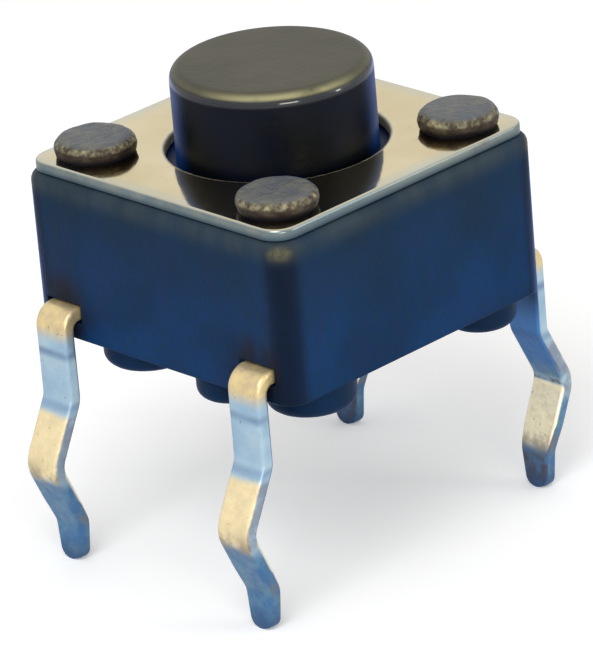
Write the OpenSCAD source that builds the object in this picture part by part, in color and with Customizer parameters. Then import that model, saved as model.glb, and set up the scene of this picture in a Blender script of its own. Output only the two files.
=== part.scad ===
// Tactile push button switch: a 6 mm square through-hole key with four snap-in leads.
// Millimetres, +Z up. The origin is the middle of the body on the board plane, which is the
// underside of the standoff feet. The leads leave the -X and +X walls.

/* [Housing] */
// Width of the square body
body_w = 6; // [5:0.05:7]
// Height of the moulded block, from its underside to the seat of the cover
body_h = 2.8; // [2.6:0.05:3.4]
// Radius of the four upright corners
body_corner_r = 0.4; // [0.36:0.02:0.5]
// Radius of the block's edge round the cover
body_edge_r = 0.18; // [0.05:0.01:0.2]
// Thickness of the floor under the dome, with the terminal strips in it
floor_t = 0.6; // [0.5:0.05:0.9]

/* [Standoff feet] */
// Height of the feet, which hold the block off the board
foot_h = 0.5; // [0.3:0.05:0.8]
// Radius of the edge under each foot
foot_edge_r = 0.2; // [0.05:0.01:0.25]
// Diameter of the large foot in the front left corner
large_foot_d = 1.5; // [1.3:0.05:1.6]
// Distance of the large foot from the left wall
large_foot_inset_x = 1.2; // [0.9:0.05:1.3]
// Distance of the large foot from the front wall
large_foot_inset_y = 0.8; // [0.8:0.05:1]
// Diameter of the small foot in the front right corner
small_foot_d = 1.2; // [1:0.05:1.4]
// Distance of the small foot from the right wall
small_foot_inset_x = 0.85; // [0.75:0.05:1.2]
// Distance of the small foot from the front wall
small_foot_inset_y = 0.75; // [0.75:0.05:1]
// Diameter of the two middle feet
mid_foot_d = 1.2; // [0.8:0.05:1.3]
// Distance of the middle feet from the walls that carry the leads
mid_foot_inset_x = 0.75; // [0.7:0.05:1]
// Distance of the middle feet from the middle line, towards the front
mid_foot_y = 0.85; // [0.6:0.05:0.9]
// Diameter of the two rear feet
rear_foot_d = 1.55; // [1.2:0.05:1.6]
// Distance of the rear feet from the walls that carry the leads
rear_foot_inset_x = 1; // [0.9:0.05:1.2]
// Distance of the rear feet from the middle line, towards the back
rear_foot_y = 1.35; // [1.2:0.05:1.6]

/* [Stakes] */
// Distance of the stake centres from the body's walls
stake_inset = 0.9; // [0.85:0.01:0.95]
// Diameter of the stake's shank, which passes through the cover
stake_shank_d = 0.8; // [0.6:0.05:0.9]
// Diameter of the stake's flattened head
stake_head_d = 1.35; // [1.2:0.05:1.4]
// Height of the flattened head
stake_head_h = 0.33; // [0.25:0.01:0.4]
// Radius of the head's upper edge
stake_edge_r = 0.18; // [0.05:0.01:0.2]

/* [Cover] */
// Thickness of the stamped cover
cover_t = 0.2; // [0.15:0.01:0.3]
// Distance from the block's side to the cover's side
cover_inset = 0.075; // [0.05:0.005:0.12]
// Radius of the cover's corners
cover_corner_r = 0.4; // [0.3:0.05:0.5]

/* [Button] */
// Distance from the body's walls to the button's stem
button_margin = 1.325; // [1.25:0.025:1.5]
// Height of the button above the cover
button_out = 1.4; // [1:0.05:5]
// Radius of the button's top edge
button_edge_r = 0.22; // [0.1:0.01:0.4]
// Thickness of the flange that the cover holds down
flange_t = 0.7; // [0.5:0.05:0.8]
// Diameter of the nub that presses the dome
nub_d = 1.2; // [0.8:0.05:1.6]
// Travel of the button
travel = 0.25; // [0.15:0.01:0.3]

/* [Dome] */
// Distance from the body's walls to the rim of the snap dome
dome_margin = 0.9; // [0.85:0.05:1]
// Thickness of the dome's sheet
dome_t = 0.08; // [0.05:0.01:0.1]

/* [Leads] */
// Thickness of the terminal sheet
lead_t = 0.25; // [0.2:0.01:0.3]
// Width of each lead
lead_w = 0.7; // [0.6:0.05:0.75]
// Distance from a wall to the middle of the leads outside it
lead_out = 0.25; // [0.25:0.05:0.5]
// Distance of the lead centres from the plain walls
lead_inset = 0.75; // [0.65:0.05:0.8]
// Inside radius of the bend outside the wall
knee_r = 0.12; // [0.08:0.01:0.15]
// Depth of the lead tips under the board plane
lead_depth = 3.4; // [3.2:0.05:4]
// Depth at which the snap-in kink begins
kink_start = 0.4; // [0.2:0.05:0.7]
// Lean of the kink's outward leg
kink_out_angle = 27; // [15:1:35]
// Length of the kink's outward leg
kink_out_len = 0.9; // [0.6:0.05:1.2]
// Lean of the kink's return leg
kink_in_angle = 24; // [15:1:35]
// Length of the kink's return leg
kink_in_len = 0.95; // [0.6:0.05:1.2]
// Inside radius of the kink's bends
kink_r = 0.3; // [0.1:0.01:0.4]
// Width of each tip
tip_w = 0.5; // [0.45:0.05:0.6]
// Length over which a lead narrows to its tip
taper_len = 0.9; // [0.5:0.05:1.2]
// Radius of the corners of each tip
tip_r = 0.2; // [0.1:0.01:0.2]
// Width of the strip arm that reaches the middle contact
arm_w = 0.8; // [0.6:0.05:1]
// Diameter of the middle contact
contact_d = 1.3; // [1:0.05:1.4]
// Width of the two arms that the dome's rim stands on
rim_arm_w = 0.6; // [0.5:0.05:0.7]

/* [Fits] */
// Gap between the dome's rim and the well, on each side
dome_gap = 0.2; // [0.1:0.05:0.25]
// Gap between the button's stem and the cover, on each side
hole_gap = 0.175; // [0.15:0.005:0.25]
// Gap between the cover's stake holes and the shanks, on each side
stake_gap = 0.05; // [0.02:0.01:0.1]
// Gap between the flange and the well, on each side
flange_gap = 0.08; // [0.05:0.01:0.1]
// Gap between the flange and the cover above it at rest
lift_gap = 0.02; // [0.01:0.01:0.05]
// Gap between the nub and the dome at rest
nub_gap = 0.02; // [0.01:0.01:0.05]

/* [Hidden] */
$fn = 72;
// Overshoot of a cut past the face that it opens
cut = 0.5;
half_w = body_w / 2;
seat_z = foot_h + body_h;
cover_top_z = seat_z + cover_t;
floor_z = foot_h + floor_t;
cover_w = body_w - 2 * cover_inset;
stake_at = half_w - stake_inset;
button_d = body_w - 2 * button_margin;
cover_hole_d = button_d + 2 * hole_gap;
dome_d = body_w - 2 * dome_margin;
well_d = dome_d + 2 * dome_gap;
flange_d = well_d - 2 * flange_gap;
flange_top_z = seat_z - lift_gap;
button_top_z = cover_top_z + button_out;
// The dome's underside stands one travel above the middle contact, so the press closes the switch
dome_rise = travel + nub_gap;
dome_inner_r = (pow(dome_d / 2, 2) + pow(dome_rise, 2)) / (2 * dome_rise);
dome_top_z = floor_z + dome_rise + dome_t;
nub_bottom_z = dome_top_z + nub_gap;
lead_mid_x = half_w + lead_out;
lead_y = half_w - lead_inset;
strip_mid_z = floor_z - lead_t / 2;
knee_turn_r = knee_r + lead_t / 2;
kink_turn_r = kink_r + lead_t / 2;
rim_arm_x = dome_d / 2 - rim_arm_w / 2;

// Each foot: place along X, place along Y, diameter
FEET = [
    [large_foot_inset_x - half_w, large_foot_inset_y - half_w, large_foot_d],
    [half_w - small_foot_inset_x, small_foot_inset_y - half_w, small_foot_d],
    for (s = [-1, 1])
        each [
            [s * (half_w - mid_foot_inset_x), -mid_foot_y, mid_foot_d],
            [s * (half_w - rear_foot_inset_x), rear_foot_y, rear_foot_d]
        ]
];

// Length of the lead's straight run between the knee and the kink, with the bends taken off
run_len = strip_mid_z - knee_turn_r + kink_start;
// Depth that each bend and leg of the kink uses up, so the last run ends at lead_depth
bend_drop = kink_turn_r * sin(kink_out_angle);
return_drop = kink_turn_r * (sin(kink_out_angle) + sin(kink_in_angle));
kink_drop = bend_drop + kink_out_len * cos(kink_out_angle) + return_drop
    + kink_in_len * cos(kink_in_angle) + kink_turn_r * sin(kink_in_angle);
tip_len = lead_depth - kink_start - kink_drop;

// How far the lead's profile overlaps the strip inside the wall
root = 0.5;
// Largest turn between two points on a bend, in degrees
bend_step_angle = 9;

// Each step of a lead from inside the wall outward: straight length, then the turn, then the turn's radius
LEAD = [
    [root + lead_mid_x - half_w - knee_turn_r, 90, knee_turn_r],
    [run_len, -kink_out_angle, kink_turn_r],
    [kink_out_len, kink_out_angle + kink_in_angle, kink_turn_r],
    [kink_in_len, -kink_in_angle, kink_turn_r],
    [tip_len, 0, kink_turn_r]
];

// Unit vector to the right of a heading
function right_of(heading) = [sin(heading), -cos(heading)];

// Places and headings along a sheet's middle line, which turns right for each positive turn
function trail(steps, place, heading, i = 0) =
    i == len(steps) ? [[place, heading]] :
    let(
        turn = steps[i][1],
        r = steps[i][2] * sign(turn),
        bend_at = place + steps[i][0] * [cos(heading), sin(heading)],
        centre = bend_at + r * right_of(heading),
        count = ceil(abs(turn) / bend_step_angle),
        bend = [
            for (k = [1 : 1 : count - 1])
                let(h = heading - turn * k / count)
                    [centre - r * right_of(h), h]
        ],
        out = heading - turn
    )
    concat([[place, heading], [bend_at, heading]], bend, trail(steps, centre - r * right_of(out), out, i + 1));

// Outline of a sheet of thickness t along a trail
function sheet_outline(trail, t) = concat(
    [for (s = trail) s[0] - t / 2 * right_of(s[1])],
    [for (i = [len(trail) - 1 : -1 : 0]) trail[i][0] + t / 2 * right_of(trail[i][1])]
);

// Square with round corners, centred
module round_square(w, r) {
    inner = w - 2 * r;
    square([w, inner], center = true);
    square([inner, w], center = true);
    for (x = [-1, 1])
        for (y = [-1, 1])
            translate([x * inner / 2, y * inner / 2])
                circle(r);
}

// Places its children at the four stakes
module at_stakes() {
    for (x = [-1, 1])
        for (y = [-1, 1])
            translate([x * stake_at, y * stake_at, 0])
                children();
}

// Disc with its upper edge rounded, standing on z = 0
module round_edge_disc(d, h, edge_r) {
    rotate_extrude()
        intersection() {
            union() {
                square([d / 2, h - edge_r]);
                square([d / 2 - edge_r, h]);
                translate([d / 2 - edge_r, h - edge_r])
                    circle(edge_r, $fn = 48);
            }
            square([d, h]);
        }
}

// Block with round upright corners and a rolled upper edge
module rolled_block(w, h, r, edge_r) {
    side = w / 2 - edge_r;
    flat_len = w - 2 * r;
    linear_extrude(h - edge_r)
        round_square(w, r);
    linear_extrude(h)
        round_square(w - 2 * edge_r, r - edge_r);
    translate([0, 0, h - edge_r])
        for (quarter = [0 : 3])
            rotate([0, 0, 90 * quarter]) {
                translate([side, 0, 0])
                    rotate([90, 0, 0])
                        cylinder(h = flat_len, r = edge_r, center = true, $fn = 48);
                translate([w / 2 - r, w / 2 - r, 0])
                    rotate_extrude(angle = 90)
                        translate([r - edge_r, 0])
                            circle(edge_r, $fn = 48);
            }
}

// Side view of one strip with its two bent leads, in X and Z
module pair_profile() {
    translate([-half_w, floor_z - lead_t])
        square([body_w, lead_t]);
    for (side = [0, 1])
        mirror([side, 0])
            polygon(sheet_outline(trail(LEAD, [half_w - root, strip_mid_z], 0), lead_t));
}

// Front view of a lead, in Y and Z: it narrows towards the tip, whose two corners are round
module lead_front() {
    inner = tip_w - 2 * tip_r;
    tip_z = tip_r - lead_depth;
    taper_z = tip_z + taper_len;
    polygon([
        [-tip_w / 2, tip_z],
        [tip_w / 2, tip_z],
        [lead_w / 2, taper_z],
        [lead_w / 2, floor_z],
        [-lead_w / 2, floor_z],
        [-lead_w / 2, taper_z]
    ]);
    translate([-inner / 2, -lead_depth])
        square([inner, tip_r]);
    for (y = [-1, 1])
        translate([y * inner / 2, tip_z])
            circle(tip_r);
}

// Flat strip through the body with the two leads at its ends, at one place along Y
module lead_pair(y) {
    translate([0, y, 0])
        intersection() {
            rotate([90, 0, 0])
                linear_extrude(lead_w, center = true)
                    pair_profile();
            rotate([90, 0, 90])
                linear_extrude(2 * body_w, center = true)
                    lead_front();
        }
}

// Sheet from the front strip to the middle contact
module centre_arm() {
    translate([0, 0, floor_z - lead_t]) {
        translate([-arm_w / 2, 0, 0])
            cube([arm_w, lead_y, lead_t]);
        cylinder(h = lead_t, d = contact_d);
    }
}

// Two arms of sheet that carry the dome's rim
module rim_arms() {
    for (side = [-1, 1])
        translate([side * rim_arm_x - rim_arm_w / 2, -lead_y, floor_z - lead_t])
            cube([rim_arm_w, lead_y, lead_t]);
}

module stamped_centre() {
    lead_pair(lead_y);
    centre_arm();
}

module stamped_outer() {
    lead_pair(-lead_y);
    rim_arms();
}

// Moulded base: block, well, feet and the four stakes that are flattened over the cover
module housing_base() {
    color("midnightblue") {
        difference() {
            union() {
                translate([0, 0, foot_h])
                    rolled_block(body_w, body_h, body_corner_r, body_edge_r);
                for (foot = FEET)
                    translate([foot[0], foot[1], foot_h])
                        mirror([0, 0, 1])
                            round_edge_disc(foot[2], foot_h, foot_edge_r);
            }
            translate([0, 0, floor_z])
                cylinder(h = seat_z - floor_z + cut, d = well_d);
            stamped_centre();
            stamped_outer();
        }
        at_stakes() {
            translate([0, 0, seat_z])
                cylinder(h = cover_t, d = stake_shank_d);
            translate([0, 0, cover_top_z])
                round_edge_disc(stake_head_d, stake_head_h, stake_edge_r);
        }
    }
}

// Stamped cover that holds the button in
module cover_plate() {
    color("wheat")
        translate([0, 0, seat_z])
            difference() {
                linear_extrude(cover_t)
                    round_square(cover_w, cover_corner_r);
                translate([0, 0, -cut])
                    cylinder(h = cover_t + 2 * cut, d = cover_hole_d);
                at_stakes()
                    translate([0, 0, -cut])
                        cylinder(h = cover_t + 2 * cut, d = stake_shank_d + 2 * stake_gap);
            }
}

// Moulded button: stem, flange and the nub that presses the dome
module push_button() {
    color("dimgray") {
        translate([0, 0, flange_top_z])
            round_edge_disc(button_d, button_top_z - flange_top_z, button_edge_r);
        translate([0, 0, flange_top_z - flange_t])
            cylinder(h = flange_t, d = flange_d);
        translate([0, 0, nub_bottom_z])
            cylinder(h = flange_top_z - nub_bottom_z, d = nub_d);
    }
}

// Thin domed spring disc that clicks down on the middle contact
module snap_dome() {
    color("silver")
        translate([0, 0, floor_z])
            rotate_extrude()
                intersection() {
                    translate([0, dome_rise - dome_inner_r])
                        difference() {
                            circle(dome_inner_r + dome_t, $fn = 360);
                            circle(dome_inner_r, $fn = 360);
                        }
                    square([dome_d / 2, dome_rise + dome_t]);
                }
}

// Stamped strip with two leads and the middle contact
module centre_terminal() {
    color("lightsteelblue")
        stamped_centre();
}

// Stamped strip with two leads and the contacts under the dome's rim
module outer_terminal() {
    color("lightsteelblue")
        stamped_outer();
}

housing_base();
cover_plate();
push_button();
snap_dome();
centre_terminal();
outer_terminal();
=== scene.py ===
"""Looks for the tactile push button switch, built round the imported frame.

Sizes are in millimetres until a mesh is made.
"""

import math

import bmesh
import bpy
from mathutils import Matrix, Vector


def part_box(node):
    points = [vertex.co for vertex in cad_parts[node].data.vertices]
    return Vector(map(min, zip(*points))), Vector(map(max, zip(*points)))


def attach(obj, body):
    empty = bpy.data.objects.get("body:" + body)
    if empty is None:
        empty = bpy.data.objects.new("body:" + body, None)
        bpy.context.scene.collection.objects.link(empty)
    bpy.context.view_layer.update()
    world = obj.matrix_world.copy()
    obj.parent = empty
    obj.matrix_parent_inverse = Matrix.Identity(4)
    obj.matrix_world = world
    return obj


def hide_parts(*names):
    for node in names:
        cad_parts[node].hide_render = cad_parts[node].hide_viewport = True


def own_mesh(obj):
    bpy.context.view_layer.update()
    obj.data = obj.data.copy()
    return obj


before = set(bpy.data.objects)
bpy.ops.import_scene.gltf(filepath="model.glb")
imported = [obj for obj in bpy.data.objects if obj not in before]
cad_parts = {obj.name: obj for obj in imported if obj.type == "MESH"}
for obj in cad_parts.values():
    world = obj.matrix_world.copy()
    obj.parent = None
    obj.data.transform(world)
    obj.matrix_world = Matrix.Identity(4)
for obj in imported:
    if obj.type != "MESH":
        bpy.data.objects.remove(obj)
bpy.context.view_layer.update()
MM = 0.001
BODY = "switch_body"
BUTTON = "button"


# Sizes read from the frame

def frame_box(node):
    """Lowest and highest corner of a CAD node, in millimetres."""
    low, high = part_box(node)
    return low / MM, high / MM


block_low, block_high = frame_box("housing_base")
cover_low, cover_high = frame_box("cover_plate")
button_low, button_high = frame_box("push_button")
dome_low, dome_high = frame_box("snap_dome")
lead_low = frame_box("outer_terminal")[0]

BLOCK_HALF = block_high.x
SEAT_Z = cover_low.z
COVER_TOP_Z = cover_high.z
COVER_HALF = cover_high.x
FLOOR_Z = dome_low.z
HEAD_TOP_Z = block_high.z
BUTTON_TOP_Z = button_high.z
FLANGE_R = button_high.x
LEAD_DEPTH = -lead_low.z
GROUND_Z = min(lead_low.z, block_low.z)

# Sizes of the moulded block
BLOCK_BOTTOM_Z = 0.5
BLOCK_CORNER_R = 0.4
BLOCK_EDGE_R = 0.18
FLASH_R = 0.03
WELL_R = 2.3
STAKE_AT = 2.1
HEAD_R = 0.675
# Width and height of the worn edge of each stake head
HEAD_EDGE_R = 0.18
HEAD_EDGE_H = 0.18
# Inset and height of the two lowest points on each head's side, and the loops that fill its top
HEAD_SIDE = ((0.06, 0.0), (0.02, 0.05))
HEAD_TOP_LOOPS = (0.4, 0.3, 0.15)
FOOT_EDGE_R = 0.2
# Each foot: place along X and Y, and diameter. The two front ones differ, and the others are pairs
FEET = (
    (-1.8, -2.2, 1.5), (2.15, -2.25, 1.2),
    (-2.25, -0.85, 1.2), (2.25, -0.85, 1.2),
    (-2.0, 1.35, 1.55), (2.0, 1.35, 1.55),
)
# Gap round each lead where it leaves the wall, and how deep it goes
SLOT_GAP = 0.045
SLOT_DEPTH = 0.25

# Sizes of the cover and the button
COVER_CORNER_R = 0.4
COVER_HOLE_R = 1.85
DIE_ROLL_R = 0.06
BURR_R = 0.02
STEM_R = 1.675
BUTTON_EDGE_R = 0.22
BUTTON_TOP_LOOPS = (1.2, 0.8, 0.4)
# Direction along X and Y of the side where a highlight is painted on the button's rim
RIM_HIGHLIGHT_SIDE = (-0.62, -0.78)
FLANGE_GAP = 0.02
FLANGE_TOP_Z = SEAT_Z - FLANGE_GAP
FLANGE_T = 0.7
NUB_R = 0.6
NUB_Z = button_low.z

# Sizes of the dome
DOME_R = dome_high.x
DOME_T = 0.08
DOME_STEPS = 16

# Sizes of the leads
LEAD_T = 0.25
LEAD_W = 0.7
LEAD_MID_X = 3.25
LEAD_Y = 2.25
LEAD_EDGE_R = 0.06
KNEE_TURN_R = 0.245
KINK_TURN_R = 0.425
KINK_START = 0.4
KINK_OUT_ANGLE = 27
KINK_OUT_LEN = 0.9
KINK_IN_ANGLE = 24
KINK_IN_LEN = 0.95
TIP_W = 0.5
TIP_R = 0.2
TAPER_LEN = 0.9
STRIP_MID_Z = FLOOR_Z - LEAD_T / 2
ARM_W = 0.8
CONTACT_R = 0.65
RIM_ARM_W = 0.6
RIM_ARM_X = dome_high.x - RIM_ARM_W / 2
# How far inside the wall the leads start
LEAD_ROOT = 0.3
# Spacing of the points on a lead's middle line: a length where it is straight, degrees in a bend
TRAIL_STEP = 0.08
TRAIL_TURN = 6
# Waves of the leads' unevenness in a metre
LEAD_WAVES = 700.0

# Zones of height on the leads for painted reflections and shade, each from where a tone starts to where it
# is full
KNEE_ZONE = (FLOOR_Z - 0.62, FLOOR_Z - 0.28)
STEEL_ZONE = (-2.0, -1.7)
CREAM_TOP_ZONE = (-0.8, -0.64)
CREAM_LOW_ZONE = (-1.9, -1.66)
FOLD_ZONE = (-1.0, -0.6)
INNER_SIDE_ZONE = (-1.0, -0.7)
INNER_BLUE_ZONE = (-1.5, -1.1)
INNER_DARK_ZONE = (-0.5, 0.3)
INNER_CREAM_ZONE = (-2.74, -2.52)
TIP_ZONE = (0.05 - LEAD_DEPTH, 0.5 - LEAD_DEPTH)
# Heights of the painted brown shade at the lower ends of the cream, outside and inside
OUTER_SHADE_Z = -1.75
INNER_SHADE_Z = -2.6
# Each darker line across the leads: its height and its strength
CROSS_LINES = ((0.34, 0.7), (-0.58, 0.5))


# Node trees written as expressions

class Value:
    """A socket that maths can be written on."""

    def __init__(self, graph, socket):
        self.graph = graph
        self.socket = socket

    def maths(self, operation, other=None, swap=False):
        """A maths node on this socket and another value; swap puts the other one first."""
        pair = [self] if other is None else [other, self] if swap else [self, other]
        return self.graph.put("ShaderNodeMath", {"operation": operation}, dict(enumerate(pair)))

    def __add__(self, other):
        return self.maths("ADD", other)

    def __sub__(self, other):
        return self.maths("SUBTRACT", other)

    def __mul__(self, other):
        return self.maths("MULTIPLY", other)

    def __truediv__(self, other):
        return self.maths("DIVIDE", other)

    def __rsub__(self, other):
        return self.maths("SUBTRACT", other, swap=True)

    def __rtruediv__(self, other):
        return self.maths("DIVIDE", other, swap=True)

    __radd__ = __add__
    __rmul__ = __mul__


class Graph:
    """A node tree that put() fills: a node's type, its settings, then its sockets by name or number."""

    def __init__(self, tree):
        self.tree = tree

    def put(self, kind, settings=None, sockets=None, out=0):
        node = self.tree.nodes.new(kind)
        for name, setting in (settings or {}).items():
            setattr(node, name, setting)
        for name, given in (sockets or {}).items():
            if isinstance(given, Value):
                self.tree.links.new(given.socket, node.inputs[name])
            else:
                node.inputs[name].default_value = given
        return Value(self, node.outputs[out])

    def split(self, vector):
        """The three numbers of a vector."""
        parts = self.put("ShaderNodeSeparateXYZ", sockets={0: vector}).socket.node
        return [Value(self, parts.outputs[i]) for i in range(3)]


def shade(r, g, b):
    """A colour given as it shows on a screen, 0 to 255, as the shader needs it."""
    linear = [((c / 255 + 0.055) / 1.055) ** 2.4 if c > 10 else c / 255 / 12.92 for c in (r, g, b)]
    return (*linear, 1.0)


class Finish(Graph):
    """A material: constant values go on the shader, and what varies is linked by link() and bump()."""

    def __init__(self, name, **constants):
        self.material = bpy.data.materials.new(name)
        self.material.use_nodes = True
        super().__init__(self.material.node_tree)
        self.shader = self.tree.nodes["Principled BSDF"]
        for socket, number in constants.items():
            self.shader.inputs[socket.replace("_", " ")].default_value = number
        self.place = self.put("ShaderNodeTexCoord", out="Object")
        self.facing = Value(self, self.place.socket.node.outputs["Normal"])
        self.x, self.y, self.z = self.split(self.place)

    def noise(self, size, detail=3.0, rough=0.5, stretch=None):
        """Smooth noise, 0 to 1, whose lumps are about size millimetres across."""
        vector = self.place
        if stretch:
            vector = self.put("ShaderNodeVectorMath", {"operation": "MULTIPLY"}, {
                0: self.place, 1: stretch})
        sockets = {"Vector": vector, "Scale": 1 / (size * MM), "Detail": detail, "Roughness": rough}
        return self.put("ShaderNodeTexNoise", sockets=sockets)

    def rise(self, value, low, high):
        """0 below low, 1 above high, smooth in between."""
        settings = {"interpolation_type": "SMOOTHSTEP", "clamp": True}
        return self.put("ShaderNodeMapRange", settings, {"Value": value, "From Min": low, "From Max": high})

    def above(self, low, high, wander=None):
        """0 under one height and 1 over another, in millimetres; wander moves that border up and down."""
        height = self.z if wander is None else self.z + wander
        return self.rise(height, low * MM, high * MM)

    def line(self, below, height, over):
        """1 at a height, fading out over a stretch below it and one over it, all in millimetres."""
        return self.above(height - below, height) * (1 - self.above(height, height + over))

    def mix(self, share, first, second):
        """A colour between two colours."""
        return self.put("ShaderNodeMix", {"data_type": "RGBA"}, {0: share, 6: first, 7: second}, out=2)

    def turned(self, low, high):
        """0 where the surface faces the eye, 1 where it turns away from it."""
        facing = self.put("ShaderNodeLayerWeight", sockets={"Blend": 0.5}, out="Facing")
        return self.rise(facing, low, high)

    def link(self, socket, value):
        self.tree.links.new(value.socket, self.shader.inputs[socket])

    def bump(self, *layers):
        """Adds up bump layers, each a height field, 0 to 1, and its depth in millimetres."""
        normal = None
        for height, depth in layers:
            sockets = {"Height": height, "Distance": depth * MM, "Strength": 1.0}
            if normal:
                sockets["Normal"] = normal
            normal = self.put("ShaderNodeBump", sockets=sockets)
        self.link("Normal", normal)


# Finishes

def moulded_housing():
    """Dark blue moulding with grey flattened stake heads, painted with light and shade: a pale highlight
    along its upper edge, at its upper corners and on the heads' slopes, dark corner reflections, a blue
    sheen, and shade on the feet, round the leads and under the heads.
    """
    f = Finish("moulded_navy", Specular_IOR_Level=0.08)
    cloud = f.noise(1.6, 4)
    grain = f.noise(0.11, 3, 0.6)
    flow = f.noise(0.5, 3, stretch=(1, 1, 0.35))
    from_x = f.x.maths("ABSOLUTE")
    from_y = f.y.maths("ABSOLUTE")

    # Cloudy, streaky walls, greyer towards the top
    blotch = f.rise(cloud, 0.35, 0.65)
    low = f.mix(blotch, shade(4, 40, 78), shade(8, 50, 96))
    high = f.mix(blotch, shade(16, 38, 58), shade(14, 42, 72))
    colour = f.mix(f.above(0.8, SEAT_Z), low, high)
    colour = f.mix(f.rise(grain, 0.45, 0.75) * 0.6, colour, shade(8, 46, 62))
    colour = f.mix(f.rise(flow, 0.5, 0.75) * 0.45, colour, shade(26, 40, 80))

    # Painted light and shade: a dark reflection on the upright corners, a blue sheen where the walls turn
    # away, a pale highlight along the upper edge, and shade on the feet under the block
    corner = f.rise(from_x + from_y, (2 * BLOCK_HALF - 0.55) * MM, (2 * BLOCK_HALF - 0.2) * MM)
    colour = f.mix(corner * 0.8, colour, shade(6, 12, 26))
    colour = f.mix(f.turned(0.6, 0.95) * 0.8, colour, shade(16, 78, 156))
    rim = f.above(SEAT_Z - 2.6 * BLOCK_EDGE_R, SEAT_Z - 0.4 * BLOCK_EDGE_R)
    colour = f.mix(rim * (0.5 + 0.5 * f.rise(flow, 0.3, 0.6)) * 0.68, colour, shade(58, 68, 72))
    feet = 1 - f.above(BLOCK_BOTTOM_Z - 0.05, BLOCK_BOTTOM_Z + 0.1)
    colour = f.mix(feet * 0.5, colour, shade(10, 28, 44))

    # Painted brown shadow round the leads where they leave the wall, and a painted olive highlight where
    # the upper corners turn
    side_wall = f.rise(from_x, (BLOCK_HALF - 0.06) * MM, (BLOCK_HALF - 0.03) * MM)
    beside = (from_y - LEAD_Y * MM).maths("POWER", 2.0)
    over = (f.z - STRIP_MID_Z * MM).maths("POWER", 2.0)
    from_lead = (beside + over).maths("SQRT")
    lead_shadow = side_wall * (1 - f.rise(from_lead, 0.35 * MM, 0.85 * MM)) * f.rise(flow, 0.2, 0.6)
    colour = f.mix(lead_shadow * 0.75, colour, shade(26, 20, 20))
    # Painted olive highlight where the upper corners turn
    ridge = f.rise(from_x + from_y, (2 * BLOCK_HALF - 0.36) * MM, (2 * BLOCK_HALF - 0.2) * MM)
    painted_glow = f.above(SEAT_Z - 2.0 * BLOCK_EDGE_R, SEAT_Z - 0.8 * BLOCK_EDGE_R)
    colour = f.mix(ridge * painted_glow * (0.3 + 0.6 * f.rise(grain, 0.3, 0.6)), colour, shade(104, 98, 70))

    # Stake heads, from the shank up: painted shadow under the head, brown side, a pitted slope painted pale
    # as a highlight, smeared grey top, and a painted blue sheen where they turn away
    under_head_shadow = f.above(COVER_TOP_Z - 0.01, COVER_TOP_Z + 0.01)
    head = f.above(COVER_TOP_Z + 0.04, COVER_TOP_Z + 0.14)
    slope_highlight = f.above(HEAD_TOP_Z - 0.17, HEAD_TOP_Z - 0.1)
    crown = f.above(HEAD_TOP_Z - 0.075, HEAD_TOP_Z - 0.015)
    smear = f.rise(f.noise(0.3, 4, 0.6), 0.35, 0.7)
    pits = f.rise(f.noise(0.14, 4, 0.65), 0.38, 0.75)
    colour = f.mix(under_head_shadow, colour, shade(18, 16, 28))
    colour = f.mix(head, colour, f.mix(smear, shade(44, 36, 34), shade(78, 70, 60)))
    colour = f.mix(slope_highlight, colour, f.mix(pits, shade(70, 64, 56), shade(170, 162, 130)))
    colour = f.mix(crown, colour, f.mix(smear, shade(94, 98, 104), shade(112, 112, 106)))
    colour = f.mix(head * f.turned(0.72, 0.95) * 0.7, colour, shade(58, 96, 150))

    f.link("Base Color", colour)
    f.link("Roughness", 0.4 + 0.16 * cloud - 0.18 * head)
    f.bump((grain, 0.006), (flow, 0.008), (smear * head, 0.02), (pits * head, 0.012))
    return f.material


def moulded_button():
    """Near-black moulding with a top painted paler as a warm reflection, a pale highlight painted on one
    side of the rim, a painted blue sheen where it turns away, and a glossy turn below it.
    """
    f = Finish("moulded_black", Specular_IOR_Level=0.1, Coat_Roughness=0.1, Coat_IOR=1.6)
    cloud = f.noise(1.3, 4)
    grain = f.noise(0.09, 2, 0.6)
    patch_noise = f.noise(0.6, 3)

    def up_the_edge(low, high):
        """0 to 1 between two depths below the top, given as shares of the edge's radius."""
        return f.above(BUTTON_TOP_Z - low * BUTTON_EDGE_R, BUTTON_TOP_Z - high * BUTTON_EDGE_R)

    side = f.mix(f.rise(cloud, 0.35, 0.65), shade(4, 7, 10), shade(8, 14, 28))
    # The top is painted paler and warmer than the side, as if lit from above
    top = f.mix(f.rise(cloud, 0.3, 0.7), shade(70, 68, 56), shade(84, 81, 68))
    top = f.mix(f.rise(grain, 0.5, 0.8) * 0.5, top, shade(74, 77, 70))
    crown = up_the_edge(0.7, 0.25)
    colour = f.mix(crown, side, top)
    # Painted blue sheen where the side and the top's edge turn away
    away = f.turned(0.5, 0.88) * (1 - crown) + f.turned(0.8, 0.97) * crown
    colour = f.mix(away * 0.85, colour, shade(20, 66, 136))
    # Painted highlight: the rim is paler in patches, mostly on one side
    rim = up_the_edge(0.58, 0.36) * (1 - up_the_edge(0.3, 0))
    to_x, to_y = RIM_HIGHLIGHT_SIDE
    highlight_side = f.rise(f.x * to_x + f.y * to_y, 0.55 * STEM_R * MM, 0.98 * STEM_R * MM)
    painted_glow = rim * (0.1 + 0.8 * highlight_side) * f.rise(patch_noise, 0.2, 0.5)
    colour = f.mix(painted_glow, colour, shade(158, 154, 116))
    polish = up_the_edge(1.15, 0.85) * (1 - up_the_edge(0.66, 0.45))
    f.link("Base Color", colour)
    f.link("Coat Weight", 0.75 * polish)
    f.link("Roughness", 0.3 + 0.2 * cloud)
    f.bump((grain, 0.005), (patch_noise, 0.01))
    return f.material


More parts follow.
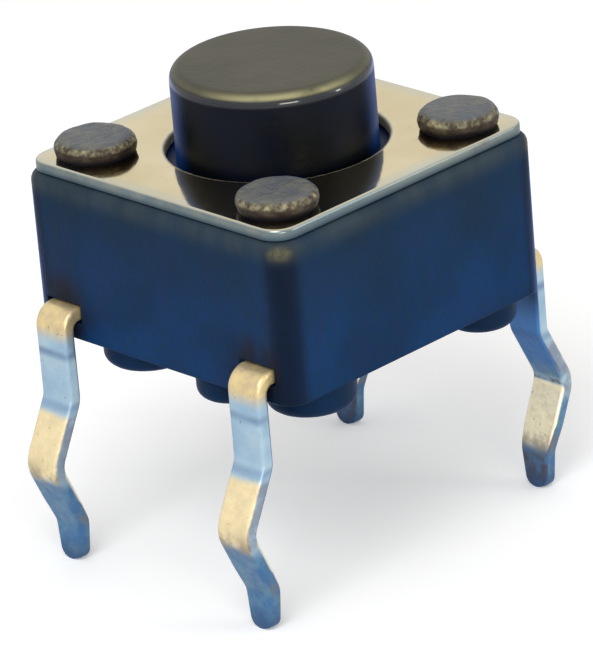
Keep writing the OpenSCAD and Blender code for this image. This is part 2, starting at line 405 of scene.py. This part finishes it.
def stamped_cover():
    """Bright warm sheet metal with faint handling marks; its cut edges are painted blue-grey as a
    reflection, with tarnish patches and painted shade towards their foot.
    """
    f = Finish("stamped_champagne", Metallic=1.0)
    cloud = f.noise(2.2, 3)
    speck = f.noise(0.12, 2, 0.6)
    rolled = f.noise(0.5, 3, stretch=(0.15, 1.4, 1))
    tarnish = f.noise(0.35, 4, 0.6)

    face = f.mix(f.rise(cloud, 0.35, 0.65), shade(206, 190, 148), shade(216, 202, 164))
    face = f.mix(f.rise(speck, 0.62, 0.8) * 0.5, face, shade(180, 168, 136))
    border = f.x.maths("ABSOLUTE").maths("MAXIMUM", f.y.maths("ABSOLUTE"))
    border = f.rise(border, (COVER_HALF - 0.4) * MM, COVER_HALF * MM)
    face = f.mix(border * (0.2 + 0.4 * cloud), face, shade(164, 184, 192))
    # The cut edges are painted blue-grey as the reflection of blue surroundings, with tarnish patches
    edge = f.mix(f.rise(rolled, 0.3, 0.7), shade(112, 127, 133), shade(134, 142, 137))
    edge = f.mix(f.rise(tarnish, 0.5, 0.75) * 0.5, edge, shade(92, 84, 88))
    # Painted shade: the edge darkens towards the bottom of the sheet
    edge = f.mix(f.above(SEAT_Z, COVER_TOP_Z - DIE_ROLL_R), shade(62, 82, 98), edge)
    top = f.above(COVER_TOP_Z - 0.5 * DIE_ROLL_R, COVER_TOP_Z - 0.005)
    from_middle = (f.x * f.x + f.y * f.y).maths("SQRT")
    hole_rim = 1 - f.rise(from_middle, (COVER_HOLE_R + 0.04) * MM, (COVER_HOLE_R + 0.09) * MM)
    rough = 0.07 + 0.07 * f.rise(rolled, 0.3, 0.8) + 0.1 * f.rise(speck, 0.6, 0.8)
    f.link("Base Color", f.mix(hole_rim * 0.8, f.mix(top, edge, face), shade(214, 208, 188)))
    f.link("Roughness", rough + 0.4 * hole_rim + 0.2 * (1 - top))
    f.bump((rolled, 0.0012), (cloud, 0.008))
    return f.material


def plated_lead():
    """Silver plate: bluish steel tones, with painted light and shade: a gold highlight at the knee, a warm
    cream reflection where the kink faces up, a blue reflection on the inner sides, and shade darker below
    and towards the tip.
    """
    f = Finish("silver_plate", Metallic=0.6)
    cloud = f.noise(0.7, 4)
    mottle = f.noise(0.25, 3, 0.6)
    speck = f.noise(0.1, 3, 0.65)
    drawn = f.noise(0.3, 3, stretch=(1, 1, 0.2))
    blotch = f.rise(cloud, 0.3, 0.7)
    spots = f.rise(mottle, 0.3, 0.7)
    upright = f.mix(blotch, shade(150, 182, 208), shade(176, 202, 218))
    cream = f.mix(spots, shade(242, 224, 178), shade(228, 210, 168))
    inner_cream = f.mix(blotch, shade(252, 244, 214), shade(244, 232, 198))
    gold = f.mix(spots, shade(236, 208, 142), shade(208, 184, 136))
    low = f.mix(spots, shade(68, 112, 160), shade(100, 140, 166))

    # Which way a side faces: out from the block, in towards it, up, or along the wall
    across, along, up = f.split(f.facing)
    outward = f.x * across * (1 / MM)
    outer = f.rise(outward, 0.8, 1.6)
    facing_in = f.rise(-1 * outward, 0.5, 1.3)
    wander = 0.16 * MM * (cloud - 0.5)

    # Steel above, with painted shade below and on sides turned down, and a painted reflection of the blue
    # block on the inner sides over the kink, darkest near the block
    colour = f.mix(1 - f.above(*STEEL_ZONE, wander), upright, low)
    colour = f.mix(f.rise(-1 * up, 0.1, 0.5) * 0.8, colour, low)
    not_up = 1 - f.rise(up, -0.1, 0.05)
    inward = facing_in * not_up.maths("MAXIMUM", f.above(*INNER_SIDE_ZONE))
    colour = f.mix(inward * f.above(*INNER_BLUE_ZONE, wander) * 0.9, colour, shade(54, 118, 188))
    colour = f.mix(inward * f.above(*INNER_DARK_ZONE, wander) * 0.85, colour, shade(26, 44, 76))

    # Painted warm reflection in cream where the outer side of the kink and the inner side below its fold
    # face up, with painted brown shade in the fold and on the cut sides beside the cream
    band = (1 - f.above(*CREAM_TOP_ZONE, wander)) * f.above(*CREAM_LOW_ZONE, wander)
    colour = f.mix(outer * band, colour, cream)
    fold = f.rise(up, -0.3, -0.08) * (1 - f.rise(up, 0.0, 0.12)) * (1 - f.above(*FOLD_ZONE))
    colour = f.mix(facing_in * fold * f.rise(mottle, 0.35, 0.6) * 0.8, colour, shade(76, 60, 68))
    side_shade = f.rise(along.maths("ABSOLUTE"), 0.55, 0.8) * band
    colour = f.mix(side_shade * f.rise(mottle, 0.2, 0.6) * 0.6, colour, shade(112, 106, 124))
    below_fold = f.rise(up, 0.02, 0.2) * f.above(*INNER_CREAM_ZONE, wander)
    colour = f.mix((1 - f.rise(outward, -0.4, 0.2)) * below_fold, colour, inner_cream)

    # Painted brown shade at the lower ends of the cream, a painted gold highlight at the knee, two darker
    # lines across, painted shade towards the tip, and specks
    for side, height in ((outer, OUTER_SHADE_Z), (1 - outer, INNER_SHADE_Z)):
        brown_shade = side * f.line(0.3, height, 0.35) * f.rise(mottle, 0.3, 0.6)
        colour = f.mix(brown_shade * 0.6, colour, shade(120, 104, 96))
    colour = f.mix(f.above(*KNEE_ZONE) * 0.9, colour, gold)
    for height, strength in CROSS_LINES:
        mark = f.line(0.14, height, 0.12) * f.rise(cloud, 0.2, 0.6)
        colour = f.mix(mark * strength, colour, shade(84, 112, 156))
    tip = 1 - f.above(*TIP_ZONE)
    colour = f.mix(tip * 0.7, colour, shade(46, 76, 118))
    colour = f.mix(f.rise(speck, 0.64, 0.76) * 0.6, colour, shade(104, 92, 78))
    # Painted blue sheen where the sides turn away
    colour = f.mix(f.turned(0.6, 0.92) * 0.5, colour, shade(70, 120, 184))

    f.link("Base Color", colour)
    f.link("Roughness", 0.3 + 0.16 * cloud + 0.2 * f.rise(speck, 0.6, 0.8))
    f.bump((speck, 0.005), (drawn, 0.008), (mottle, 0.015), (cloud, 0.03))
    return f.material


def spring_sheet():
    """Thin bright spring sheet of the dome."""
    f = Finish("spring_sheet", Metallic=1.0)
    cloud = f.noise(0.8, 3)
    f.link("Base Color", f.mix(cloud, shade(196, 198, 200), shade(220, 220, 216)))
    f.link("Roughness", 0.2 + 0.12 * cloud)
    f.bump((cloud, 0.004))
    return f.material


HOUSING = moulded_housing()
BUTTON_FINISH = moulded_button()
COVER = stamped_cover()
PLATE = plated_lead()
SPRING = spring_sheet()


# Mesh helpers

STRAIGHT_STEPS = 10
CORNER_STEPS = 14
SEGMENTS = 96
FEW_SEGMENTS = 48
MANY_SEGMENTS = 160
SMOOTH_ANGLE = math.radians(40)


def arc(x, z, r, start, end, steps):
    """Points on an arc, with its angles in degrees."""
    angles = [math.radians(start + (end - start) * i / steps) for i in range(steps + 1)]
    return [(x + r * math.cos(a), z + r * math.sin(a)) for a in angles]


def square_ring(half, r, z):
    """Square loop with round corners, always with the same count of points."""
    inner = half - r
    quarter = arc(inner, inner, r, 0, 90, CORNER_STEPS)
    side = [(half, -inner + 2 * inner * i / STRAIGHT_STEPS) for i in range(1, STRAIGHT_STEPS)]
    ring = []
    for turn in range(4):
        a = math.radians(90 * turn)
        for x, y in side + quarter:
            ring.append((x * math.cos(a) - y * math.sin(a), x * math.sin(a) + y * math.cos(a), z))
    return ring


def round_ring(r, z, like):
    """Round loop whose points lie in the directions of another loop's points."""
    return [(r * x / math.hypot(x, y), r * y / math.hypot(x, y), z) for x, y, _ in like]


def add_loft(bm, rings, closed=False):
    """Skin over loops of points; an open skin gets a face over each end."""
    loops = [[bm.verts.new(p) for p in ring] for ring in rings]
    pairs = list(zip(loops, loops[1:])) + ([(loops[-1], loops[0])] if closed else [])
    for lower, upper in pairs:
        count = len(lower)
        for i in range(count):
            bm.faces.new((lower[i], lower[(i + 1) % count], upper[(i + 1) % count], upper[i]))
    if not closed:
        bm.faces.new(list(reversed(loops[0])))
        bm.faces.new(loops[-1])


def add_lathe(bm, profile, x=0, y=0, segments=SEGMENTS):
    """Turned form about a vertical axis; the profile runs from the bottom's middle to the top's middle."""
    rings = []
    for r, z in profile[1:-1]:
        turns = [2 * math.pi * i / segments for i in range(segments)]
        rings.append([(x + r * math.cos(a), y + r * math.sin(a), z) for a in turns])
    add_loft(bm, rings)


def add_slab(bm, x0, x1, y0, y1, z0, z1):
    """Plain box: a stretch of the inner sheet, which nobody sees, or the cutter of a slot."""
    corners = [[(x0, y0, z), (x1, y0, z), (x1, y1, z), (x0, y1, z)] for z in (z0, z1)]
    add_loft(bm, corners)


def make_piece(name, bm, finish):
    """Turns a mesh drawn in millimetres into an object in metres, at the origin."""
    bmesh.ops.recalc_face_normals(bm, faces=bm.faces)
    bmesh.ops.scale(bm, vec=(MM, MM, MM), verts=bm.verts)
    mesh = bpy.data.meshes.new(name)
    bm.to_mesh(mesh)
    bm.free()
    piece = bpy.data.objects.new(name, mesh)
    bpy.context.scene.collection.objects.link(piece)
    mesh.materials.append(finish)
    shade_evenly(piece)
    return piece


def shade_evenly(piece):
    """Smooth shading that stays crisp at real edges and flat on large faces."""
    piece.data.shade_smooth()
    piece.data.set_sharp_from_angle(angle=SMOOTH_ANGLE)
    weighted = piece.modifiers.new("even shading", "WEIGHTED_NORMAL")
    weighted.keep_sharp = True


def settle(piece, body, slot, *nodes):
    """Fixes a finished piece to its body and hides the CAD nodes that it stands for."""
    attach(piece, body)
    if nodes:
        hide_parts(*nodes)
    return piece


# Geometry Nodes helpers

class Recipe(Graph):
    """A Geometry Nodes tree with named inputs, which run() applies to an object as a plain mesh."""

    KINDS = {float: "NodeSocketFloat", int: "NodeSocketInt"}

    def __init__(self, name, **sizes):
        super().__init__(bpy.data.node_groups.new(name, "GeometryNodeTree"))
        self.sizes = sizes
        self.tree.interface.new_socket("Geometry", in_out="INPUT", socket_type="NodeSocketGeometry")
        self.tree.interface.new_socket("Geometry", in_out="OUTPUT", socket_type="NodeSocketGeometry")
        self.items = {}
        for key, size in sizes.items():
            kind = self.KINDS[type(size)]
            self.items[key] = self.tree.interface.new_socket(key, in_out="INPUT", socket_type=kind)
        self.entry = self.tree.nodes.new("NodeGroupInput")
        self.geometry = Value(self, self.entry.outputs[0])

    def size(self, key):
        return Value(self, self.entry.outputs[key])

    def vector(self, x=0.0, y=0.0, z=0.0):
        return self.put("ShaderNodeCombineXYZ", sockets={0: x, 1: y, 2: z})

    def transform(self, geometry, **sockets):
        return self.put("GeometryNodeTransform", sockets={0: geometry, **sockets})

    def resample(self, curve, length):
        """The curve with points at even steps of a length."""
        return self.put("GeometryNodeResampleCurve", {"mode": "LENGTH"}, {0: curve, "Length": length})

    def finish(self, geometry, material):
        """Ends the tree: real instances, smooth faces and the material."""
        real = self.put("GeometryNodeRealizeInstances", sockets={0: geometry})
        smooth = self.put("GeometryNodeSetShadeSmooth", sockets={0: real})
        coated = self.put("GeometryNodeSetMaterial", sockets={0: smooth, "Material": material})
        exit_node = self.tree.nodes.new("NodeGroupOutput")
        self.tree.links.new(coated.socket, exit_node.inputs[0])

    def run(self, name, source):
        """The mesh that the tree makes of an object, as a new piece."""
        modifier = source.modifiers.new(name, "NODES")
        modifier.node_group = self.tree
        for key, size in self.sizes.items():
            modifier[self.items[key].identifier] = size
        evaluated = source.evaluated_get(bpy.context.evaluated_depsgraph_get())
        mesh = bpy.data.meshes.new_from_object(evaluated)
        mesh.name = name
        bpy.data.objects.remove(source)
        piece = bpy.data.objects.new(name, mesh)
        bpy.context.scene.collection.objects.link(piece)
        return piece


# The moulded block with its feet

def foot_profile(r):
    """Half section of a standoff foot, from its underside up into the block."""
    edge = arc(r - FOOT_EDGE_R, FOOT_EDGE_R, FOOT_EDGE_R, -90, 0, 6)
    return [(0, 0), *edge, (r, BLOCK_BOTTOM_Z), (0, BLOCK_BOTTOM_Z)]


def build_block():
    """The square block with its rounded upper edge and open well, standing on its feet."""
    bm = bmesh.new()
    top = SEAT_Z - BLOCK_EDGE_R
    rings = [square_ring(BLOCK_HALF - FLASH_R, BLOCK_CORNER_R - FLASH_R, BLOCK_BOTTOM_Z)]
    rings.append(square_ring(BLOCK_HALF, BLOCK_CORNER_R, BLOCK_BOTTOM_Z + FLASH_R))
    for reach, z in arc(0, top, BLOCK_EDGE_R, 0, 90, 6):
        shrink = BLOCK_EDGE_R - reach
        rings.append(square_ring(BLOCK_HALF - shrink, BLOCK_CORNER_R - shrink, z))
    like = rings[-1]
    rings += [round_ring(r, z, like) for r, z in ((WELL_R, SEAT_Z), (WELL_R, FLOOR_Z))]
    add_loft(bm, rings)
    for x, y, d in FEET:
        add_lathe(bm, foot_profile(d / 2), x, y, FEW_SEGMENTS)
    block = make_piece("moulded_block", bm, HOUSING)
    cut_lead_slots(block)
    return settle(block, BODY, "housing", "housing_base")


def cut_lead_slots(block):
    """Opens a narrow dark gap round each lead at the wall."""
    bm = bmesh.new()
    half = LEAD_W / 2 + SLOT_GAP
    low, high = FLOOR_Z - LEAD_T - SLOT_GAP, FLOOR_Z + SLOT_GAP
    for wall_x in (BLOCK_HALF, -BLOCK_HALF):
        for y in (LEAD_Y, -LEAD_Y):
            add_slab(bm, wall_x - SLOT_DEPTH, wall_x + SLOT_DEPTH, y - half, y + half, low, high)
    cutter = make_piece("slot_cutter", bm, HOUSING)
    block.modifiers.clear()
    opening = block.modifiers.new("lead slots", "BOOLEAN")
    opening.operation = "DIFFERENCE"
    opening.solver = "EXACT"
    opening.object = cutter
    depsgraph = bpy.context.evaluated_depsgraph_get()
    block.data = bpy.data.meshes.new_from_object(block.evaluated_get(depsgraph))
    block.modifiers.clear()
    bpy.data.objects.remove(cutter)
    shade_evenly(block)


# The four flattened stake heads

def build_stake_heads():
    """One turned head, laid out at the four stakes and pressed a little out of true by noise."""
    bm = bmesh.new()
    rim = [(HEAD_R - HEAD_EDGE_R + HEAD_EDGE_R * c, HEAD_TOP_Z - HEAD_EDGE_H + HEAD_EDGE_H * s)
           for c, s in arc(0, 0, 1, 0, 90, 8)]
    crown = [(r, HEAD_TOP_Z) for r in HEAD_TOP_LOOPS]
    side = [(HEAD_R - inset, COVER_TOP_Z + lift) for inset, lift in HEAD_SIDE]
    add_lathe(bm, [(0, COVER_TOP_Z), *side, *rim, *crown, (0, HEAD_TOP_Z)], segments=FEW_SEGMENTS)
    source = make_piece("stake_head", bm, HOUSING)
    source.modifiers.clear()
    tree = Recipe("stake layout", pitch=2 * STAKE_AT * MM, unevenness=0.05 * MM, lump=0.45 * MM, seed=3)
    grid = tree.put("GeometryNodeMeshGrid", sockets={
        "Size X": tree.size("pitch"), "Size Y": tree.size("pitch"), "Vertices X": 2, "Vertices Y": 2})
    turn = tree.put("FunctionNodeRandomValue", {"data_type": "FLOAT"}, {
        3: 2 * math.pi, "Seed": tree.size("seed")}, out=1)
    heads = tree.put("GeometryNodeInstanceOnPoints", sockets={
        "Points": grid, "Instance": tree.geometry, "Rotation": tree.vector(z=turn)})
    real = tree.put("GeometryNodeRealizeInstances", sockets={0: heads})
    noise = tree.put("ShaderNodeTexNoise", {"noise_dimensions": "3D"}, {
        "Scale": 1 / tree.size("lump"), "Detail": 2.0}, out=1)
    centred = tree.put("ShaderNodeVectorMath", {"operation": "SUBTRACT"}, {0: noise, 1: (0.5, 0.5, 0.5)})
    sway_x, sway_y, sway_z = tree.split(centred)
    reach = tree.size("unevenness")
    height = tree.split(tree.put("GeometryNodeInputPosition"))[2]
    above = tree.put("ShaderNodeMapRange", sockets={
        "Value": height, "From Min": COVER_TOP_Z * MM, "From Max": HEAD_TOP_Z * MM})
    drop = reach * above * (sway_z - 0.25)
    offset = tree.vector(sway_x * reach * 2.0, sway_y * reach * 2.0, drop)
    tree.finish(tree.put("GeometryNodeSetPosition", sockets={0: real, "Offset": offset}), HOUSING)
    return settle(tree.run("stake_heads", source), BODY, "housing")


# The stamped cover

def build_cover():
    """The flat square sheet with its round hole: rolled upper edges and a slight burr below."""
    bm = bmesh.new()
    roll = arc(-DIE_ROLL_R, COVER_TOP_Z - DIE_ROLL_R, DIE_ROLL_R, 0, 90, 5)
    outer = [(-BURR_R, SEAT_Z), (0, SEAT_Z + BURR_R), *roll]
    rings = [square_ring(COVER_HALF + step, COVER_CORNER_R + step, z) for step, z in outer]
    like = rings[0]
    inner_roll = arc(COVER_HOLE_R + DIE_ROLL_R, COVER_TOP_Z - DIE_ROLL_R, DIE_ROLL_R, 90, 180, 5)
    inner = [*inner_roll, (COVER_HOLE_R, SEAT_Z + BURR_R), (COVER_HOLE_R + BURR_R, SEAT_Z)]
    rings += [round_ring(r, z, like) for r, z in inner]
    add_loft(bm, rings, closed=True)
    return settle(make_piece("cover_sheet", bm, COVER), BODY, "cover", "cover_plate")


# The moulded button

def build_button():
    """The turned form of the button, from the nub over the dome to the rounded top."""
    bm = bmesh.new()
    flange_low = FLANGE_TOP_Z - FLANGE_T
    top = BUTTON_TOP_Z - BUTTON_EDGE_R
    flange = [(NUB_R, flange_low), (FLANGE_R, flange_low), (FLANGE_R, FLANGE_TOP_Z)]
    profile = [(0, NUB_Z), (NUB_R, NUB_Z), *flange, (STEM_R, FLANGE_TOP_Z)]
    profile += arc(STEM_R - BUTTON_EDGE_R, top, BUTTON_EDGE_R, 0, 90, 10)
    profile += [(r, BUTTON_TOP_Z) for r in BUTTON_TOP_LOOPS]
    add_lathe(bm, [*profile, (0, BUTTON_TOP_Z)], segments=MANY_SEGMENTS)
    return settle(make_piece("button_cap", bm, BUTTON_FINISH), BUTTON, "button", "push_button")


# The leads

def lead_trail():
    """Middle line of a lead from inside the wall to its tip, in X and Z."""
    out_angle, in_angle = math.radians(KINK_OUT_ANGLE), math.radians(KINK_IN_ANGLE)
    bends = 2 * math.sin(out_angle) + 2 * math.sin(in_angle)
    legs = KINK_OUT_LEN * math.cos(out_angle) + KINK_IN_LEN * math.cos(in_angle)
    tip_len = LEAD_DEPTH - KINK_START - KINK_TURN_R * bends - legs
    root_x = BLOCK_HALF - LEAD_ROOT
    steps = (
        (LEAD_MID_X - root_x - KNEE_TURN_R, 90, KNEE_TURN_R),
        (STRIP_MID_Z - KNEE_TURN_R + KINK_START, -KINK_OUT_ANGLE, KINK_TURN_R),
        (KINK_OUT_LEN, KINK_OUT_ANGLE + KINK_IN_ANGLE, KINK_TURN_R),
        (KINK_IN_LEN, -KINK_IN_ANGLE, KINK_TURN_R),
        (tip_len, 0, KINK_TURN_R),
    )
    place = Vector((root_x, STRIP_MID_Z))
    heading = 0.0
    points = [place.copy()]
    for length, turn, r in steps:
        start = place.copy()
        place = place + length * Vector((math.cos(heading), math.sin(heading)))
        pieces = max(2, round(length / TRAIL_STEP))
        points += [start.lerp(place, (i + 1) / pieces) for i in range(pieces)]
        side = math.copysign(r, turn)
        count = math.ceil(abs(turn) / TRAIL_TURN)
        for i in range(1, count + 1):
            a = math.radians(turn) * i / count
            centre = place + side * Vector((math.sin(heading), -math.cos(heading)))
            h = heading - a
            points.append(centre - side * Vector((math.sin(h), -math.cos(h))))
        if count:
            place = points[-1].copy()
        heading -= math.radians(turn)
    return points


def lead_curve(name):
    """The middle line as a flat curve in the XY plane, which the tree stands upright."""
    points = lead_trail()
    line = bpy.data.curves.new(name, "CURVE")
    line.dimensions = "3D"
    spline = line.splines.new("POLY")
    spline.points.add(len(points) - 1)
    for point, place in zip(spline.points, points):
        point.co = (place.x * MM, place.y * MM, 0, 1)
    source = bpy.data.objects.new(name, line)
    bpy.context.scene.collection.objects.link(source)
    return source


def build_lead_pair(name, y):
    """Two leads of one strip: a rounded section swept along the middle line, and its twin turned round."""
    tree = Recipe(
        name + " sweep", width=LEAD_W * MM, thickness=LEAD_T * MM, edge=LEAD_EDGE_R * MM,
        tip_width=TIP_W * MM, tip_radius=TIP_R * MM, taper=TAPER_LEN * MM, tip_z=-LEAD_DEPTH * MM,
        row=y * MM, waviness=0.03 * MM, step=0.04 * MM)
    section = tree.put("GeometryNodeCurvePrimitiveQuadrilateral", sockets={
        "Width": tree.size("thickness"), "Height": tree.size("width")})
    rounded = tree.put("GeometryNodeFilletCurve", {"mode": "POLY"}, {
        0: section, "Radius": tree.size("edge"), "Count": 4, "Limit Radius": True})
    dense = tree.resample(rounded, 0.03 * MM)
    fine = tree.resample(tree.geometry, tree.size("step"))
    upright = tree.put("GeometryNodeSetCurveNormal", {"mode": "Z_UP"}, {0: fine})
    swept = tree.put("GeometryNodeCurveToMesh", sockets={
        "Curve": upright, "Profile Curve": dense, "Fill Caps": True})
    stood = tree.transform(swept, Rotation=(math.pi / 2, 0, 0))
    x, across, z = tree.split(tree.put("GeometryNodeInputPosition"))
    # The lead narrows evenly towards the tip, and along a round corner within the tip radius
    radius = tree.size("tip_radius")
    above_tip = z - tree.size("tip_z")
    share = ((above_tip - radius) / tree.size("taper")).maths("MAXIMUM", 0.0).maths("MINIMUM", 1.0)
    half = (tree.size("tip_width") + (tree.size("width") - tree.size("tip_width")) * share) / 2
    short = (radius - above_tip).maths("MAXIMUM", 0.0)
    reach = (radius * radius - short * short).maths("MAXIMUM", 0.0).maths("SQRT")
    narrow = (half - radius + reach) / (tree.size("width") / 2)
    noise = tree.put("ShaderNodeTexNoise", {"noise_dimensions": "3D"}, {
        "Vector": tree.vector(x, y * MM, z), "Scale": LEAD_WAVES, "Detail": 1.0})
    sway = (noise - 0.5) * tree.size("waviness")
    place = tree.vector(x + sway, across * narrow + sway, z)
    shaped = tree.put("GeometryNodeSetPosition", sockets={0: stood, "Position": place})
    moved = tree.transform(shaped, Translation=tree.vector(y=tree.size("row")))
    mirror_row = tree.transform(shaped, Translation=tree.vector(y=-1 * tree.size("row")))
    twin = tree.transform(mirror_row, Rotation=(0, 0, math.pi))
    pair = tree.put("GeometryNodeJoinGeometry", sockets={0: twin})
    tree.tree.links.new(moved.socket, pair.socket.node.inputs[0])
    tree.finish(pair, PLATE)
    return tree.run(name, lead_curve(name + "_line"))


def build_strip(name, y, centre):
    """The flat stretch inside the block that joins two leads, with the middle contact or two rim arms."""
    bm = bmesh.new()
    low, high = FLOOR_Z - LEAD_T, FLOOR_Z
    inside = BLOCK_HALF - LEAD_ROOT
    add_slab(bm, -inside, inside, y - LEAD_W / 2, y + LEAD_W / 2, low, high)
    if centre:
        add_slab(bm, -ARM_W / 2, ARM_W / 2, CONTACT_R / 2, y - LEAD_W / 2, low, high)
        add_lathe(bm, [(0, low), (CONTACT_R, low), (CONTACT_R, high), (0, high)], segments=FEW_SEGMENTS)
    else:
        for side in (-1, 1):
            x = side * RIM_ARM_X
            add_slab(bm, x - RIM_ARM_W / 2, x + RIM_ARM_W / 2, y + LEAD_W / 2, 0, low, high)
    return settle(make_piece(name, bm, PLATE), BODY, "terminal")


def build_terminals():
    """The two stamped strips, each with its pair of leads and the flat stretch inside the block."""
    settle(build_lead_pair("centre_leads", LEAD_Y), BODY, "terminal", "centre_terminal")
    settle(build_lead_pair("outer_leads", -LEAD_Y), BODY, "terminal", "outer_terminal")
    build_strip("centre_strip", LEAD_Y, True)
    build_strip("outer_strip", -LEAD_Y, False)


# The snap dome

def build_dome():
    """A shallow cap of thin sheet under the nub, built in the resting shape from which it flattens as the
    button goes down.
    """
    height = dome_high.z - FLOOR_Z
    rise = height - DOME_T
    inner_r = (DOME_R ** 2 + rise ** 2) / (2 * rise)
    middle_z = FLOOR_Z + rise - inner_r
    steps = [DOME_R * (i + 1) / DOME_STEPS for i in range(DOME_STEPS)]
    inner = [(r, middle_z + math.sqrt(inner_r ** 2 - r ** 2)) for r in steps]
    outer = [(r, middle_z + math.sqrt((inner_r + DOME_T) ** 2 - r ** 2)) for r in reversed(steps)]
    bm = bmesh.new()
    add_lathe(bm, [(0, FLOOR_Z + rise), *inner, *outer, (0, dome_high.z)])
    dome = settle(make_piece("dome_sheet", bm, SPRING), BODY, "dome", "snap_dome")
    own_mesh(dome)


# Floor, light and camera

# Half the width of the floor
FLOOR_REACH = 400
FLOOR_COLOUR = (0.95, 0.95, 0.95, 1.0)
# Strength of the white surroundings where they give light
WORLD_LIGHT = 0.62
# How much paler the floor is to the camera alone
FLOOR_LIFT = 0.2
PHOTO_SIZE = (593, 655)
# The photo's viewing place: angles in degrees, distance and offsets in millimetres, focal length in pixels
CAMERA_AZIMUTH = -43.33
CAMERA_ELEVATION = 23.19
CAMERA_ROLL = -4.96
CAMERA_DISTANCE = 96.97
CAMERA_FOCAL_PX = 5884
CAMERA_AIM_Z = 1.5
CAMERA_OFFSET_X = -0.158
CAMERA_OFFSET_Y = 1.258

# The lamps point at this height on the middle line
LAMP_AIM_Z = 2
WHITE = (1.0, 1.0, 1.0)
WARM_WHITE = (1.0, 0.97, 0.8)
# Each lamp: name, place, width and height in millimetres, power in watts and colour
SOFTBOXES = (
    ("key_light", (-70, -30, 90), 60, 60, 0.055, WHITE),
    ("fill_light", (60, -80, 50), 60, 60, 0.010, WHITE),
    ("glint_light", (-49, -96, 20), 38, 18, 0.026, WARM_WHITE),
    ("side_glint_light", (58, -92, 17), 12, 18, 0.009, WARM_WHITE),
)


def build_stage():
    """Pale floor under the lead tips."""
    bm = bmesh.new()
    corners = [(-FLOOR_REACH, -FLOOR_REACH), (FLOOR_REACH, -FLOOR_REACH)]
    corners += [(FLOOR_REACH, FLOOR_REACH), (-FLOOR_REACH, FLOOR_REACH)]
    bm.faces.new([bm.verts.new((x, y, GROUND_Z)) for x, y in corners])
    plain = Finish("pale_floor", Roughness=0.9, Specular_IOR_Level=0.0, Base_Color=FLOOR_COLOUR,
                   Emission_Strength=1.0)
    seen = Value(plain, plain.put("ShaderNodeLightPath").socket.node.outputs["Is Camera Ray"])
    plain.link("Emission Color", seen * FLOOR_LIFT)
    floor = make_piece("floor", bm, plain.material)


def build_world():
    """Even white surroundings: full white to the camera and in reflections, softer as light."""
    world = bpy.data.worlds.new("studio")
    bpy.context.scene.world = world
    world.use_nodes = True
    sky = Graph(world.node_tree)
    rays = sky.put("ShaderNodeLightPath").socket.node.outputs
    seen = Value(sky, rays["Is Camera Ray"]) + Value(sky, rays["Is Glossy Ray"])
    seen += Value(sky, rays["Is Transmission Ray"])
    strength = WORLD_LIGHT + (1.0 - WORLD_LIGHT) * seen.maths("MINIMUM", 1.0)
    background = world.node_tree.nodes["Background"]
    background.inputs["Color"].default_value = (1, 1, 1, 1)
    world.node_tree.links.new(strength.socket, background.inputs["Strength"])


def add_softbox(name, place, width, height, power, colour):
    """A flat lamp, turned to the middle of the switch."""
    lamp = bpy.data.lights.new(name, "AREA")
    lamp.shape = "RECTANGLE"
    lamp.size = width * MM
    lamp.size_y = height * MM
    lamp.energy = power
    lamp.color = colour
    holder = bpy.data.objects.new(name, lamp)
    holder.location = Vector(place) * MM
    holder.rotation_euler = (Vector((0, 0, LAMP_AIM_Z)) - Vector(place)).to_track_quat("-Z", "Y").to_euler()
    bpy.context.scene.collection.objects.link(holder)


def build_camera():
    """The photo's own camera, fitted to the edges of the body."""
    azimuth, elevation, roll = (math.radians(a) for a in (CAMERA_AZIMUTH, CAMERA_ELEVATION, CAMERA_ROLL))
    level = Vector((math.sin(azimuth), -math.cos(azimuth), 0))
    back = level * math.cos(elevation) + Vector((0, 0, math.sin(elevation)))
    right = Vector((math.cos(azimuth), math.sin(azimuth), 0))
    up = back.cross(right)
    right, up = right * math.cos(roll) + up * math.sin(roll), up * math.cos(roll) - right * math.sin(roll)
    aim = Vector((0, 0, CAMERA_AIM_Z))
    place = aim + CAMERA_DISTANCE * back - CAMERA_OFFSET_X * right - CAMERA_OFFSET_Y * up
    lens = bpy.data.cameras.new("camera")
    lens.sensor_fit = "AUTO"
    lens.sensor_width = 36
    lens.lens = CAMERA_FOCAL_PX / max(PHOTO_SIZE) * lens.sensor_width
    lens.clip_start = 0.001
    lens.clip_end = 10
    camera = bpy.data.objects.new("camera", lens)
    turn = Matrix((right, up, back)).transposed()
    camera.matrix_world = Matrix.Translation(place * MM) @ turn.to_4x4()
    bpy.context.scene.collection.objects.link(camera)
    bpy.context.scene.camera = camera


# The whole scene, in order

build_camera()
build_block()
build_stake_heads()
build_cover()
build_button()
build_terminals()
build_dome()
build_stage()
build_world()
for softbox in SOFTBOXES:
    add_softbox(*softbox)
bpy.context.scene.view_settings.view_transform = "Standard"
